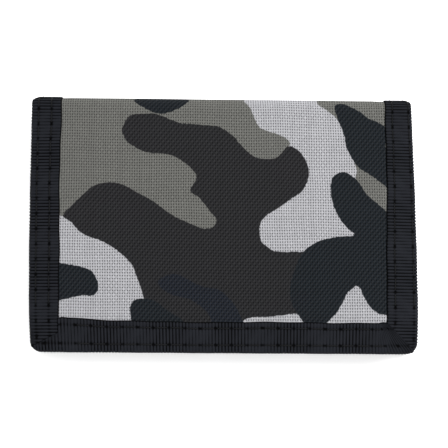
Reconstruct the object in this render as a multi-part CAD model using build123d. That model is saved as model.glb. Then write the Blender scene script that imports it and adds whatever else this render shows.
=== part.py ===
from build123d import *
import math
import os

# A trifold wallet, closed and lying on its back. One long strip of cloth, lined and bound with ribbed
# tape, is folded in three: the back panel lies at the bottom, the inner flap folds over it from the -Y
# side, and the front flap folds over both from the +Y side.
# X runs along the folds, +Y points to the front flap's fold and +Z out of the wallet's front.
# The origin is under the middle of the closed wallet. All sizes are in millimetres.

# The closed wallet
WIDTH = 125.0
HEIGHT = 85.0
BINDING = 9.3              # how far the tape reaches in from an edge
CORNER = 4.0               # rounding of the free corners, seen from above
RIM_ROUND = 0.45           # rounding of the tape's folded edge
FOLD = 3.0                 # radius of the front flap's two creases, at the middle of the shell
INNER_FLAP_GAP = 15.0      # how far the inner flap ends short of the front flap's fold
INNER_FOLD_INSET = 1.0     # how far the inner fold stays behind the front flap's free edge
MOUTH_STEP = 1.5           # the lining is cut this much shorter at the banknote mouth

# Thickness of each layer
TAPE = 0.5
SHELL = 0.8
BILL_SPACE = 1.1
LINING = 0.4
POCKET = 0.4
COIN_SPACE = 1.6
VINYL = 0.3
PATCH = 1.0                # hook patch and loop patch

# Space between bodies
PANEL_CLEARANCE = 0.3      # back panel to inner flap
PATCH_CLEARANCE = 0.2      # hook patch to loop patch

# What lies on the panels
CARD_MOUTHS = [34.0, 44.0, 54.0]     # card pockets, depth from the inner flap's free edge
BACK_POCKET_DEPTH = 57.0
WINDOW_FRAME = (96.0, 62.0)
WINDOW_OPENING = (84.0, 50.0)
WINDOW_OVERLAP = 3.0
PATCH_SIZE = (60.0, 16.0)
PATCH_FROM_EDGE = 19.0               # patch centre to the front flap's free edge

# The zip of the coin pocket
ZIP_FROM_FOLD = 9.0                  # zip's middle line to the wallet's +Y face
ZIP_LENGTH = 96.0
COIL_WIDTH = 1.8
COIL_HEIGHT = 1.2
COIL_GAP = 0.6                       # between the two rows, where the slider's post runs
ZIP_TAPE = 0.4
ZIP_TAPE_GAP = 0.8
POCKET_EDGE_FROM_ZIP = 3.1
STOP_LENGTH = 1.6
SLIDER_LENGTH = 9.0
SLIDER_WIDTH = 7.4
SLIDER_NOSE = 5.3                    # width at the end where the closed coils come out
SLIDER_CORNER = 0.9
SLIDER_PLATE = 0.55
SLIDER_CLEARANCE = 0.15
SLIDER_START = -43.0
POST_THICKNESS = 0.3
POST_LENGTH = 3.0
POST_FROM_MIDDLE = 1.8
BAIL_LENGTH = 4.4
BAIL_THICKNESS = 0.8
BAIL_SPACE = 0.9
BAIL_BRIDGE = 0.5
PULL_LENGTH = 13.0
PULL_WIDTH = 5.0
PULL_THICKNESS = 0.76
PULL_END_BAR = 0.8
PULL_CORNER = 1.25
PULL_LEG_ROOM = 0.6                  # play of the pull about the bail's leg
GRIP_HOLE = 1.0                      # radius
GRIP_HOLE_FROM_END = 4.55

# Depths below a panel's outer face, the same on all three panels
SHELL_AT = TAPE
BILL_AT = SHELL_AT + SHELL
LINING_AT = BILL_AT + BILL_SPACE
POCKET_AT = LINING_AT + LINING
SHELL_BOUND = BILL_AT + TAPE
LINING_BOUND_AT = LINING_AT - TAPE

BACK_DEPTH = POCKET_AT + POCKET + TAPE
INNER_DEPTH = POCKET_AT + len(CARD_MOUTHS) * POCKET + TAPE
COIN_PANEL_AT = POCKET_AT + COIN_SPACE
FRONT_DEPTH = COIN_PANEL_AT + POCKET + TAPE
PATCH_SPACE = 2 * PATCH + PATCH_CLEARANCE - 2 * TAPE

# Heights of the panels' outer faces
INNER_FACE = BACK_DEPTH + PANEL_CLEARANCE + INNER_DEPTH
FRONT_FACE = INNER_FACE + PATCH_SPACE + FRONT_DEPTH

# Places along X and Y
EDGE = WIDTH / 2
TOP = HEIGHT / 2
FREE_EDGE = -HEIGHT / 2
SHELL_MIDDLE = SHELL_AT + SHELL / 2
CREASE_OUTER = FOLD + SHELL_MIDDLE
CREASE_Y = TOP - CREASE_OUTER
INNER_FOLD_RADIUS = INNER_FACE / 2
INNER_FOLD_Y = FREE_EDGE + INNER_FOLD_INSET + INNER_FOLD_RADIUS
INNER_FREE_EDGE = TOP - INNER_FLAP_GAP
ZIP_Y = TOP - ZIP_FROM_FOLD
PATCH_Y = FREE_EDGE + PATCH_FROM_EDGE

# Shapes are made from spans, which are (low, high) pairs along one axis.
WHOLE_WIDTH = (-EDGE + TAPE, EDGE - TAPE)
LINING_WIDTH = (-EDGE + TAPE, EDGE - TAPE - MOUTH_STEP)
BACK_RUN = (INNER_FOLD_Y, CREASE_Y)
SPINE_RUN = (CREASE_OUTER, FRONT_FACE - CREASE_OUTER)


def block(x_span, y_span, z_span):
    """A box that fills three spans."""
    spans = (x_span, y_span, z_span)
    size = [high - low for low, high in spans]
    middle = [(high + low) / 2 for low, high in spans]
    return Pos(*middle) * Box(*size)


def around(middle, length):
    """The span of a given length about a middle."""
    return (middle - length / 2, middle + length / 2)


def upward(depth, thickness):
    """Heights of a layer of the back panel, whose outer face is at the bottom."""
    return (depth, depth + thickness)


def downward(face, depth, thickness):
    """Heights of a layer of a flap, whose outer face is on top."""
    return (face - depth - thickness, face - depth)


def spine_layer(depth, thickness):
    """Places along Y of a layer of the front spine, whose outer face points along +Y."""
    return downward(TOP, depth, thickness)


def tape_channel(side, x_outer, run_axis, run_span, span):
    """Tape folded over a straight side edge: two legs joined by a wall on the outside.

    side is -1 or 1 along X, run_axis is the edge's direction, and span is the thickness that the
    tape goes round, along the third axis.
    """
    inner_span = (span[0] + TAPE, span[1] - TAPE)
    outer_x = sorted((side * x_outer, side * (EDGE - BINDING)))
    hollow_x = sorted((side * (x_outer - TAPE), side * (EDGE - BINDING)))
    if run_axis == Axis.Y:
        outer = block(outer_x, run_span, span)
        hollow = block(hollow_x, run_span, inner_span)
    else:
        outer = block(outer_x, span, run_span)
        hollow = block(hollow_x, inner_span, run_span)
    rounded = outer.edges().filter_by(run_axis).sort_by(Axis.X)
    rounded = rounded[:2] if side < 0 else rounded[-2:]
    return fillet(rounded, TAPE) - hollow


def flap_plate(x_span, fold_y, free_y, z_span, corner):
    """A plate that ends in two rounded corners at its free edge."""
    plate = block(x_span, sorted((fold_y, free_y)), z_span)
    upright = plate.edges().filter_by(Axis.Z).sort_by(Axis.Y)
    upright = upright[:2] if free_y < fold_y else upright[-2:]
    return fillet(upright, corner)


def flap_binding(fold_y, free_y, z_span, x_right=EDGE):
    """Tape folded over the two sides and the free edge of a flap, before it is cut at its mitres."""
    inward = 1 if free_y < fold_y else -1
    outer = flap_plate((-EDGE, x_right), fold_y, free_y, z_span, CORNER)
    rim = outer.edges().filter_by(Axis.Z, reverse=True).filter_by(lambda e: abs(e.center().Y - fold_y) > TAPE)
    outer = fillet(rim, RIM_ROUND)
    hollow = flap_plate(
        (-EDGE + TAPE, x_right - TAPE),
        fold_y,
        free_y + inward * TAPE,
        (z_span[0] + TAPE, z_span[1] - TAPE),
        CORNER - TAPE,
    )
    window = block(
        (-EDGE + BINDING, EDGE - BINDING),
        sorted((fold_y, free_y + inward * BINDING)),
        (z_span[0] - TAPE, z_span[1] + TAPE),
    )
    return outer - hollow - window


def mitre_region(place, fold_y, free_y, z_span):
    """The space that holds one run of a flap's binding: left, right or end."""
    inward = 1 if free_y < fold_y else -1
    inner_x, outer_x = EDGE - BINDING, EDGE + BINDING
    inner_y, outer_y = free_y + inward * BINDING, free_y - inward * BINDING
    if place == "end":
        corners = [(-inner_x, inner_y), (inner_x, inner_y), (outer_x, outer_y), (-outer_x, outer_y)]
    else:
        side = -1 if place == "left" else 1
        corners = [
            (side * inner_x, fold_y),
            (side * inner_x, inner_y),
            (side * outer_x, outer_y),
            (side * outer_x, fold_y),
        ]
    outline = make_face(Polyline(*corners, close=True))
    height = z_span[1] - z_span[0] + 2 * TAPE
    return Pos(0, 0, z_span[0] - TAPE) * extrude(outline, height, dir=(0, 0, 1))


def binding_run(place, fold_y, free_y, z_span, x_right=EDGE):
    """One run of a flap's binding, cut where it meets the next run at a mitre."""
    whole = flap_binding(fold_y, free_y, z_span, x_right)
    return whole & mitre_region(place, fold_y, free_y, z_span)


def ring(x_span, centre, radii, start, sweep):
    """Part of a tube along X about a centre (y, z). Angles are in degrees from +Y towards +Z.

    sweep is a quarter turn or a half turn.
    """
    reach = 2 * radii[1]
    if sweep == 180:
        kept = Rot(0, 0, start + sweep / 2) * Rectangle(reach, 2 * reach, align=(Align.MIN, Align.CENTER))
    else:
        kept = Rot(0, 0, start) * Rectangle(reach, reach, align=(Align.MIN, Align.MIN))
    section = (Circle(radii[1]) - Circle(radii[0])) & kept
    tube = extrude(Plane.YZ * section, x_span[1] - x_span[0])
    return Pos(x_span[0], *centre) * tube


class Crease:
    """A fold between two panels: every layer turns about one centre, at outer radius minus depth."""

    def __init__(self, centre, outer, start, sweep):
        self.centre = centre
        self.outer = outer
        self.start = start
        self.sweep = sweep

    def layer(self, x_span, depth, thickness):
        """One cloth layer, turned through the fold."""
        radii = (self.outer - depth - thickness, self.outer - depth)
        return ring(x_span, self.centre, radii, self.start, self.sweep)

    def tape(self, side, x_outer, depth, bound):
        """Tape folded over a side edge, turned through the fold."""
        whole_x = sorted((side * x_outer, side * (EDGE - BINDING)))
        hollow_x = sorted((side * (x_outer - TAPE), side * (EDGE - BINDING)))
        return self.layer(whole_x, depth, bound) - self.layer(hollow_x, depth + TAPE, bound - 2 * TAPE)

    def shell(self):
        """The shell cloth in the fold."""
        return self.layer(WHOLE_WIDTH, SHELL_AT, SHELL)

    def lining(self):
        """The lining in the fold."""
        return self.layer(LINING_WIDTH, LINING_AT, LINING)

    def bindings(self):
        """The tape on both sides. On the banknote mouth's side, shell and lining are bound apart."""
        closed_side = self.tape(-1, EDGE, 0, BACK_DEPTH)
        mouth_shell = self.tape(1, EDGE, 0, SHELL_BOUND)
        mouth_lining = self.tape(1, EDGE - MOUTH_STEP, LINING_BOUND_AT, BACK_DEPTH - LINING_BOUND_AT)
        return Compound([closed_side, mouth_shell, mouth_lining])


LOWER_FOLD = Crease((CREASE_Y, CREASE_OUTER), CREASE_OUTER, -90, 90)
UPPER_FOLD = Crease((CREASE_Y, FRONT_FACE - CREASE_OUTER), CREASE_OUTER, 0, 90)
INNER_FOLD = Crease((INNER_FOLD_Y, INNER_FOLD_RADIUS), INNER_FOLD_RADIUS, 90, 180)


def fold_nodes(name, crease):
    """The three layers of cloth that bend at one fold."""
    return {
        f"{name}_shell": crease.shell(),
        f"{name}_lining": crease.lining(),
        f"{name}_binding": crease.bindings(),
    }


def window_frame():
    """Tape frame around the clear window, open where the window shows."""
    height = upward(POCKET_AT + POCKET, TAPE)
    whole = block(around(0, WINDOW_FRAME[0]), around(0, WINDOW_FRAME[1]), height)
    recess = block(
        around(0, WINDOW_OPENING[0] + 2 * WINDOW_OVERLAP),
        around(0, WINDOW_OPENING[1] + 2 * WINDOW_OVERLAP),
        upward(POCKET_AT + POCKET, VINYL),
    )
    opening = block(around(0, WINDOW_OPENING[0]), around(0, WINDOW_OPENING[1]), height)
    return whole - recess - opening


def window_vinyl():
    """The clear sheet, which lies in the frame's recess."""
    return block(
        around(0, WINDOW_OPENING[0] + 2 * WINDOW_OVERLAP),
        around(0, WINDOW_OPENING[1] + 2 * WINDOW_OVERLAP),
        upward(POCKET_AT + POCKET, VINYL),
    )


def back_nodes():
    """The back panel: shell, lining, card pocket, identity window and the tape on both sides."""
    card_top = INNER_FOLD_Y + BACK_POCKET_DEPTH
    return {
        "back_shell": block(WHOLE_WIDTH, BACK_RUN, upward(SHELL_AT, SHELL)),
        "back_lining": block(LINING_WIDTH, BACK_RUN, upward(LINING_AT, LINING)),
        "back_card_pocket": block(LINING_WIDTH, (INNER_FOLD_Y, card_top), upward(POCKET_AT, POCKET)),
        "id_window": window_vinyl(),
        "id_window_frame": window_frame(),
        "back_binding_left": tape_channel(-1, EDGE, Axis.Y, BACK_RUN, upward(0, BACK_DEPTH)),
        "back_binding_right": tape_channel(1, EDGE, Axis.Y, BACK_RUN, upward(0, SHELL_BOUND)),
        "back_lining_binding_right": tape_channel(
            1, EDGE - MOUTH_STEP, Axis.Y, BACK_RUN, upward(LINING_BOUND_AT, BACK_DEPTH - LINING_BOUND_AT)
        ),
    }


def spine_nodes():
    """The front spine, which stands between the two creases of the front flap's fold."""
    return {
        "front_spine_shell": block(WHOLE_WIDTH, spine_layer(SHELL_AT, SHELL), SPINE_RUN),
        "front_spine_lining": block(LINING_WIDTH, spine_layer(LINING_AT, LINING), SPINE_RUN),
        "front_spine_binding_left": tape_channel(-1, EDGE, Axis.Z, SPINE_RUN, spine_layer(0, BACK_DEPTH)),
        "front_spine_binding_right": tape_channel(1, EDGE, Axis.Z, SPINE_RUN, spine_layer(0, SHELL_BOUND)),
        "front_spine_lining_binding_right": tape_channel(
            1,
            EDGE - MOUTH_STEP,
            Axis.Z,
            SPINE_RUN,
            spine_layer(LINING_BOUND_AT, BACK_DEPTH - LINING_BOUND_AT),
        ),
    }


def patch(z_span):
    """A sewn-on rectangle of hook or loop tape with rounded corners."""
    plate = block(around(0, PATCH_SIZE[0]), around(PATCH_Y, PATCH_SIZE[1]), z_span)
    return fillet(plate.edges().filter_by(Axis.Z), CORNER / 2)


def front_flap_nodes():
    """The front flap without its zip: shell, lining, coin pocket, hook patch and bindings."""
    cloth_end = FREE_EDGE + TAPE
    cloth_corner = CORNER - TAPE
    whole = downward(FRONT_FACE, 0, FRONT_DEPTH)
    shell_bound = downward(FRONT_FACE, 0, SHELL_BOUND)
    lining_bound = downward(FRONT_FACE, LINING_BOUND_AT, FRONT_DEPTH - LINING_BOUND_AT)
    coin_panel = downward(FRONT_FACE, COIN_PANEL_AT, POCKET)
    run = (CREASE_Y, FREE_EDGE)
    return {
        "front_flap_shell": flap_plate(
            WHOLE_WIDTH, CREASE_Y, cloth_end, downward(FRONT_FACE, SHELL_AT, SHELL), cloth_corner
        ),
        "front_flap_lining": flap_plate(
            LINING_WIDTH, CREASE_Y, cloth_end, downward(FRONT_FACE, LINING_AT, LINING), cloth_corner
        ),
        "coin_pocket_panel": flap_plate(
            LINING_WIDTH, ZIP_Y - POCKET_EDGE_FROM_ZIP, cloth_end, coin_panel, cloth_corner
        ),
        "hook_patch": patch((coin_panel[0] - PATCH, coin_panel[0])),
        "front_flap_binding_left": binding_run("left", *run, whole),
        "front_flap_binding_bottom": binding_run("end", *run, whole),
        "front_flap_binding_right": binding_run("right", *run, shell_bound),
        "front_flap_lining_binding_right": binding_run("right", *run, lining_bound, EDGE - MOUTH_STEP),
    }


def zip_nodes():
    """The fixed half of the zip: two tapes, two coils and the stops at both ends."""
    tape_z = downward(FRONT_FACE, COIN_PANEL_AT - ZIP_TAPE, ZIP_TAPE)
    coil_z = (tape_z[0] - COIL_HEIGHT, tape_z[0])
    tape_x = around(0, ZIP_LENGTH + 2 * STOP_LENGTH)
    nodes = {}
    for name, side, tape_end in (("upper", -1, ZIP_Y - 2 * POCKET_EDGE_FROM_ZIP), ("lower", 1, CREASE_Y)):
        tape_y = sorted((ZIP_Y + side * ZIP_TAPE_GAP / 2, tape_end))
        coil_y = sorted((ZIP_Y + side * COIL_GAP / 2, ZIP_Y + side * (COIL_GAP / 2 + COIL_WIDTH)))
        nodes[f"zipper_tape_{name}"] = block(tape_x, tape_y, tape_z)
        nodes[f"zipper_coil_{name}"] = block(around(0, ZIP_LENGTH), coil_y, coil_z)
    stop_y = around(ZIP_Y, 2 * COIL_WIDTH + COIL_GAP)
    stop_x = (ZIP_LENGTH + STOP_LENGTH) / 2
    stops = [block(around(side * stop_x, STOP_LENGTH), stop_y, coil_z) for side in (-1, 1)]
    nodes["zipper_stops"] = Compound(stops)
    return nodes


def slider_levels():
    """Heights of the slider's lower plate, its upper plate and its bail."""
    tape_z = downward(FRONT_FACE, COIN_PANEL_AT - ZIP_TAPE, ZIP_TAPE)
    lower_top = tape_z[0] - COIL_HEIGHT - SLIDER_CLEARANCE
    upper_bottom = tape_z[1] + SLIDER_CLEARANCE
    lower = (lower_top - SLIDER_PLATE, lower_top)
    upper = (upper_bottom, upper_bottom + SLIDER_PLATE)
    bail = (lower[0] - BAIL_SPACE - BAIL_BRIDGE, lower[0])
    return lower, upper, bail


def slider_plate(z_span):
    """One face of the slider, narrower at the end where the closed coils come out."""
    nose = SLIDER_NOSE / 2
    half = SLIDER_WIDTH / 2
    start = -SLIDER_LENGTH / 2
    end = SLIDER_LENGTH / 2
    outline = Polyline((start, -half), (end, -nose), (end, nose), (start, half), close=True)
    plate = extrude(make_face(outline), z_span[1] - z_span[0], dir=(0, 0, 1))
    plate = fillet(plate.edges().filter_by(Axis.Z), SLIDER_CORNER)
    return Pos(SLIDER_START, ZIP_Y, z_span[0]) * plate


def zip_slider():
    """Two plates joined by a thin post between the coils, with a bail that holds the pull."""
    lower, upper, bail = slider_levels()
    overlap = SLIDER_PLATE / 2
    post = block(
        around(SLIDER_START - POST_FROM_MIDDLE, POST_LENGTH),
        around(ZIP_Y, POST_THICKNESS),
        (lower[1] - overlap, upper[0] + overlap),
    )
    arch = block(
        around(SLIDER_START, BAIL_LENGTH),
        around(ZIP_Y, BAIL_THICKNESS),
        (bail[0], bail[1] + overlap),
    )
    arch = fillet(arch.edges().filter_by(Axis.Y).sort_by(Axis.Z)[:2], BAIL_BRIDGE)
    hole = block(
        around(SLIDER_START, BAIL_LENGTH - 2 * BAIL_THICKNESS),
        around(ZIP_Y, 2 * BAIL_THICKNESS),
        (bail[0] + BAIL_BRIDGE, bail[1]),
    )
    return slider_plate(lower) + slider_plate(upper) + post + (arch - hole)


def pull_pivot():
    """Middle of the pull's end bar, inside the bail: (x, z)."""
    bail = slider_levels()[2]
    bar_x = SLIDER_START + BAIL_LENGTH / 2 - BAIL_THICKNESS - PULL_END_BAR / 2 - SLIDER_CLEARANCE
    return bar_x, bail[1] - BAIL_SPACE / 2


def zip_pull():
    """A flat tab whose end bar is caught in the slider's bail."""
    bar_x, bar_z = pull_pivot()
    tab_x = (bar_x - PULL_END_BAR / 2, bar_x - PULL_END_BAR / 2 + PULL_LENGTH)
    tab = block(tab_x, around(ZIP_Y, PULL_WIDTH), around(bar_z, PULL_THICKNESS))
    tab = fillet(tab.edges().filter_by(Axis.Z), PULL_CORNER)
    leg_room = block(
        (bar_x + PULL_END_BAR / 2, bar_x + PULL_END_BAR / 2 + BAIL_THICKNESS + PULL_LEG_ROOM),
        around(ZIP_Y, BAIL_THICKNESS + PULL_LEG_ROOM),
        around(bar_z, BAIL_SPACE),
    )
    grip = Pos(tab_x[1] - GRIP_HOLE_FROM_END, ZIP_Y, bar_z) * Cylinder(GRIP_HOLE, BAIL_SPACE)
    return tab - leg_room - grip


def inner_flap_nodes():
    """The inner flap: shell, lining, three tiers of card pockets, loop patch and bindings."""
    cloth_end = INNER_FREE_EDGE - TAPE
    cloth_corner = CORNER - TAPE
    whole = downward(INNER_FACE, 0, INNER_DEPTH)
    shell_bound = downward(INNER_FACE, 0, SHELL_BOUND)
    lining_bound = downward(INNER_FACE, LINING_BOUND_AT, INNER_DEPTH - LINING_BOUND_AT)
    run = (INNER_FOLD_Y, INNER_FREE_EDGE)
    nodes = {
        "inner_flap_shell": flap_plate(
            WHOLE_WIDTH, INNER_FOLD_Y, cloth_end, downward(INNER_FACE, SHELL_AT, SHELL), cloth_corner
        ),
        "inner_flap_lining": flap_plate(
            LINING_WIDTH, INNER_FOLD_Y, cloth_end, downward(INNER_FACE, LINING_AT, LINING), cloth_corner
        ),
        "loop_patch": patch((INNER_FACE - TAPE, INNER_FACE - TAPE + PATCH)),
        "inner_flap_binding_left": binding_run("left", *run, whole),
        "inner_flap_binding_edge": binding_run("end", *run, whole),
        "inner_flap_binding_right": binding_run("right", *run, shell_bound),
        "inner_flap_lining_binding_right": binding_run("right", *run, lining_bound, EDGE - MOUTH_STEP),
    }
    for tier, name in enumerate(("back", "middle", "front")):
        mouth = INNER_FREE_EDGE - CARD_MOUTHS[len(CARD_MOUTHS) - 1 - tier]
        heights = downward(INNER_FACE, POCKET_AT + tier * POCKET, POCKET)
        nodes[f"card_pocket_{name}"] = flap_plate(LINING_WIDTH, mouth, cloth_end, heights, cloth_corner)
    return nodes


def wallet():
    """Every piece of the wallet, by name."""
    return {
        **back_nodes(),
        **fold_nodes("lower_fold", LOWER_FOLD),
        **spine_nodes(),
        **fold_nodes("upper_fold", UPPER_FOLD),
        **front_flap_nodes(),
        **zip_nodes(),
        "zip_slider": zip_slider(),
        "zip_pull": zip_pull(),
        **fold_nodes("inner_fold", INNER_FOLD),
        **inner_flap_nodes(),
    }


def hinge_places():
    """The joints' pivots as (y, z). A crease's pivot is where its cloth opens to its true flat length."""
    shift = FOLD * (1 - math.pi / 4)
    corner_y = TOP - SHELL_MIDDLE
    half_turn = math.pi * (INNER_FOLD_RADIUS - SHELL_MIDDLE)
    return {
        "lower crease": (corner_y - shift, SHELL_MIDDLE + shift),
        "upper crease": (corner_y - shift, FRONT_FACE - SHELL_MIDDLE - shift),
        "inner fold": (INNER_FOLD_Y - half_turn / 2, INNER_FOLD_RADIUS),
        "zip pull (x, z)": pull_pivot(),
    }


os.makedirs("parts", exist_ok=True)
for node, shape in wallet().items():
    export_step(shape, f"parts/{node}.step")
for place, position in hinge_places().items():
    print(f"{place}: {position[0]:.4f}, {position[1]:.4f}")
print(f"closed thickness {FRONT_FACE:.2f}, zip middle at y {ZIP_Y:.2f}, crease at y {CREASE_Y:.2f}")
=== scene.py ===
import math
from collections import namedtuple

import bpy
import numpy as np
from mathutils import Matrix, Vector


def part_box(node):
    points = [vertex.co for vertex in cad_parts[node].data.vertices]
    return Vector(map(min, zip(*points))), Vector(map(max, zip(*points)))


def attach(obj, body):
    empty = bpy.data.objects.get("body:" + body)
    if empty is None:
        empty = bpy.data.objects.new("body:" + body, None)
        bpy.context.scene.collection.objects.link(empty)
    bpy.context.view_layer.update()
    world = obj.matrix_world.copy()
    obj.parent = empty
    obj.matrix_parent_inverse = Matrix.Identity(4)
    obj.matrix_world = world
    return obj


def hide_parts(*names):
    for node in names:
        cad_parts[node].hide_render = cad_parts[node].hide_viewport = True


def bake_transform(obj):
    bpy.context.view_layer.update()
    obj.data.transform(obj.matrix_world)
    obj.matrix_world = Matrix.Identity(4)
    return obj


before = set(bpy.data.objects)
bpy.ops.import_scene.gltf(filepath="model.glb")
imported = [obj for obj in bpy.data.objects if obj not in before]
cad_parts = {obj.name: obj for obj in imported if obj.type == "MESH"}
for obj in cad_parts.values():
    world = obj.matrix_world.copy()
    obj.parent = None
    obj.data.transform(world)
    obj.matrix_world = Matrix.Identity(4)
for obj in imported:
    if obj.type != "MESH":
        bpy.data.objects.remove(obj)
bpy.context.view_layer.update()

# Lengths are in millimetres up to make_piece(), which turns them into metres.
MM = 0.001


def cad(node):
    """Lowest and highest corner of a CAD node."""
    low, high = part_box(node)
    return np.array(low) / MM, np.array(high) / MM


# -------- sizes, read from the frame
# The wallet is one strip of layers. It starts at the front flap's free edge, runs over the front,
# round the spine, along the back, round the inner fold and ends at the inner flap's free edge.
left_low, left_high = cad("front_flap_binding_left")
right_low, right_high = cad("front_flap_binding_right")
shell_low, shell_high = cad("front_flap_shell")
lining_low, lining_high = cad("front_flap_lining")
mouth_high = cad("front_flap_lining_binding_right")[1]
LEFT, RIGHT, TOP = left_low[0], right_high[0], left_high[2]
FLAP_EDGE_Y = cad("front_flap_binding_bottom")[0][1]
CREASE_Y = shell_high[1]
SPINE_Y = cad("front_spine_binding_left")[1][1]
CREASE_RADIUS = SPINE_Y - CREASE_Y
INNER_FOLD_Y = cad("back_shell")[0][1]
INNER_TOP = cad("inner_flap_binding_left")[1][2]
INNER_RADIUS = INNER_TOP / 2
INNER_EDGE_Y = cad("inner_flap_binding_edge")[1][1]

# BINDING is the width of the folded tape and TAPE its thickness. Depths go in from the outer face, and
# a stack is the depth of all the layers that a tape folds round.
BINDING = left_high[0] - LEFT
SHELL_DEPTH = (TOP - shell_high[2], TOP - shell_low[2])
LINING_DEPTH = (TOP - lining_high[2], TOP - lining_low[2])
TAPE = SHELL_DEPTH[0]
SHELL_STACK = TOP - right_low[2]
LINING_TAPE_DEPTH = TOP - mouth_high[2]
LINING_RIGHT = mouth_high[0]
FRONT_STACK = TOP - left_low[2]
BACK_STACK = cad("back_binding_left")[1][2]
INNER_STACK = INNER_TOP - cad("inner_flap_binding_left")[0][2]
# Radius of the strip's four free corners.
CORNER = 4.0

# Distances along the strip, s, at the end of each run.
CREASE_RUN = CREASE_RADIUS * math.pi / 2
S_FRONT = CREASE_Y - FLAP_EDGE_Y
S_SPINE = S_FRONT + CREASE_RUN
S_SPINE_END = S_SPINE + TOP - 2 * CREASE_RADIUS
S_BACK = S_SPINE_END + CREASE_RUN
S_INNER_FOLD = S_BACK + CREASE_Y - INNER_FOLD_Y
S_INNER = S_INNER_FOLD + INNER_RADIUS * math.pi
S_END = S_INNER + INNER_EDGE_Y - INNER_FOLD_Y
S_MID_SPINE = (S_SPINE + S_SPINE_END) / 2
S_MID_BACK = (S_BACK + S_INNER_FOLD) / 2

# Edges are sewn flat: over PINCH in from an edge the stack sinks from its outer face by EDGE_DROP
# and thins to EDGE_SQUEEZE of its depth. Both change along the strip, at PANEL_STATIONS.
PINCH = 14.0
STATION_RUN = 10.0
PANEL_STATIONS = [0, S_FRONT - STATION_RUN, S_FRONT, S_INNER, S_INNER + STATION_RUN, S_END]
EDGE_DROP = [0.9, 0.9, 0.0, 0.0, 0.5, 0.5]
EDGE_SQUEEZE = [0.65, 0.65, 0.75, 0.75, 0.7, 0.7]
LEFT_STACK = [FRONT_STACK, FRONT_STACK, BACK_STACK, BACK_STACK, INNER_STACK, INNER_STACK]

# Between the tapes the cloth bulges beside the spine's two creases, for BULGE_RUNS crease lengths.
CREASE_BULGE = 0.2
BULGE_START = 4.0
BULGE_RUNS = 2.0
# The ends of the creases are drawn in and rounded.
FOLD_ROUND = 1.3
FOLD_ROUND_REACH = 2.2
# A sewn wallet isn't square. It leans by SKEW, its spine runs out of parallel by TAPER, it is SETTLE
# shorter than its pattern, and its sides stand out by SIDE_OUT at the heights SIDE_Y.
SKEW = 0.015
TAPER = 0.005
SETTLE = 0.006
SIDE_Y = [-42, -38, -33, -25, -10, 10, 25, 42]
SIDE_OUT = [-0.6, -0.4, -0.1, 0.15, 0.35, 0.4, 0.3, 0.0]
# Heights of the wide and the narrow waves of the closed wallet's top.
WIDE_WAVE = 0.15
NARROW_WAVE = 0.1


def on_front(y):
    """Strip distance of a place on the front flap."""
    return y - FLAP_EDGE_Y


def on_back(y):
    """Strip distance of a place on the back panel."""
    return S_BACK + CREASE_Y - y


def on_inner(y):
    """Strip distance of a place on the inner flap."""
    return S_INNER + y - INNER_FOLD_Y


def smooth(t):
    """Smooth step from 0 to 1."""
    t = np.clip(t, 0, 1)
    return t * t * (3 - 2 * t)


def points(*coordinates):
    """One array of points from arrays or numbers for their coordinates."""
    return np.stack(np.broadcast_arrays(*coordinates), -1)


# -------- from strip to space
def rounded_corners(x, s):
    """The strip's four free corners, rounded by mapping each corner square to a quarter disc."""
    middle, half = (LEFT + RIGHT) / 2, (RIGHT - LEFT) / 2
    from_end = np.minimum(s, S_END - s)
    across = np.clip((np.abs(x - middle) - half + CORNER) / CORNER, 0, 1)
    along = np.clip((CORNER - from_end) / CORNER, 0, 1)
    shrink_x = CORNER * across * (1 - np.sqrt(1 - along**2 / 2))
    shrink_s = CORNER * along * (1 - np.sqrt(1 - across**2 / 2))
    towards_far_end = np.where(s < S_END / 2, 1, -1)
    return x - np.sign(x - middle) * shrink_x, s + towards_far_end * shrink_s


def ripple(x, y):
    """Height of the soft unevenness of the closed wallet's top."""
    wide = np.sin(x / 17 + 1.3) * np.sin(y / 15 + 0.4)
    narrow = np.sin(x / 8 - y / 13 + 2)
    return WIDE_WAVE * wide + NARROW_WAVE * narrow


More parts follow.
